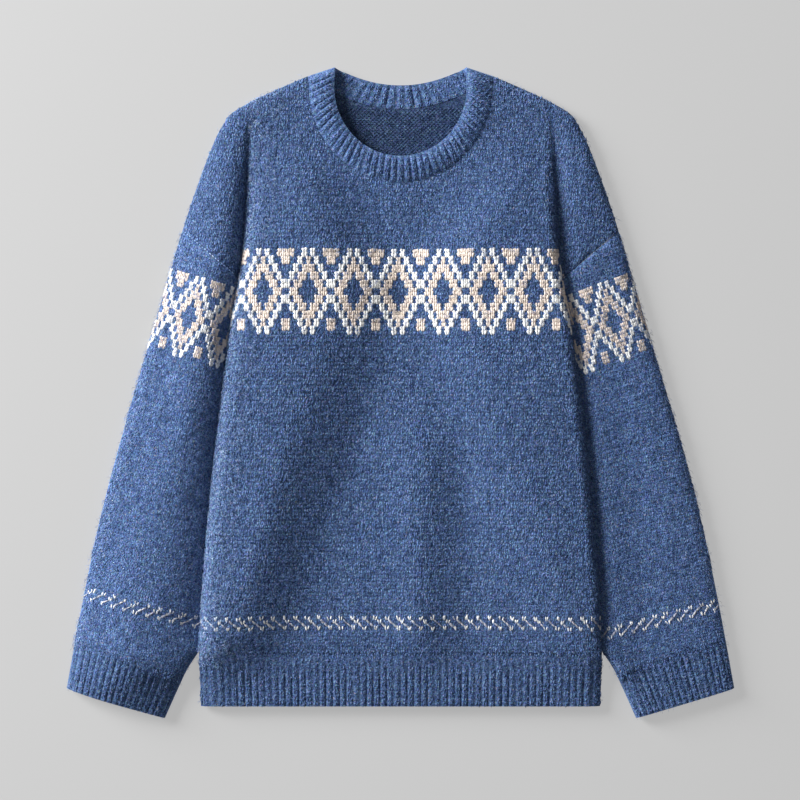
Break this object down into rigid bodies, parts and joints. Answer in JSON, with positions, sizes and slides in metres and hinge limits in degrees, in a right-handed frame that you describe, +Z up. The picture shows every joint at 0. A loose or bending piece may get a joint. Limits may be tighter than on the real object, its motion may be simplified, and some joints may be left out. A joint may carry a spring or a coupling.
{
  "type": "crewneck sweater",
  "caption": "Drop-shoulder crewneck sweater laid flat on its back, with ribbed hem, cuffs and neckband and a diamond colourwork band.",
  "frame": {"origin": "middle of the whole laid garment's outline, on the surface it lies on", "axes": "+X across the chest towards the right of the picture, +Y from hem to neck, +Z up through the front"},
  "size_m": [0.669, 0.652, 0.0193],
  "materials": {
    "knit": "brushed heathered blue knit",
    "rib": "brushed heathered blue rib"
  },
  "bodies": {
    "root": {"front": "knit", "back": "knit", "sleeve_left": "knit", "sleeve_right": "knit", "cuff_left": "rib", "cuff_right": "rib", "hem_front": "rib", "hem_back": "rib", "neckband": "rib"}
  },
  "joints": []
}
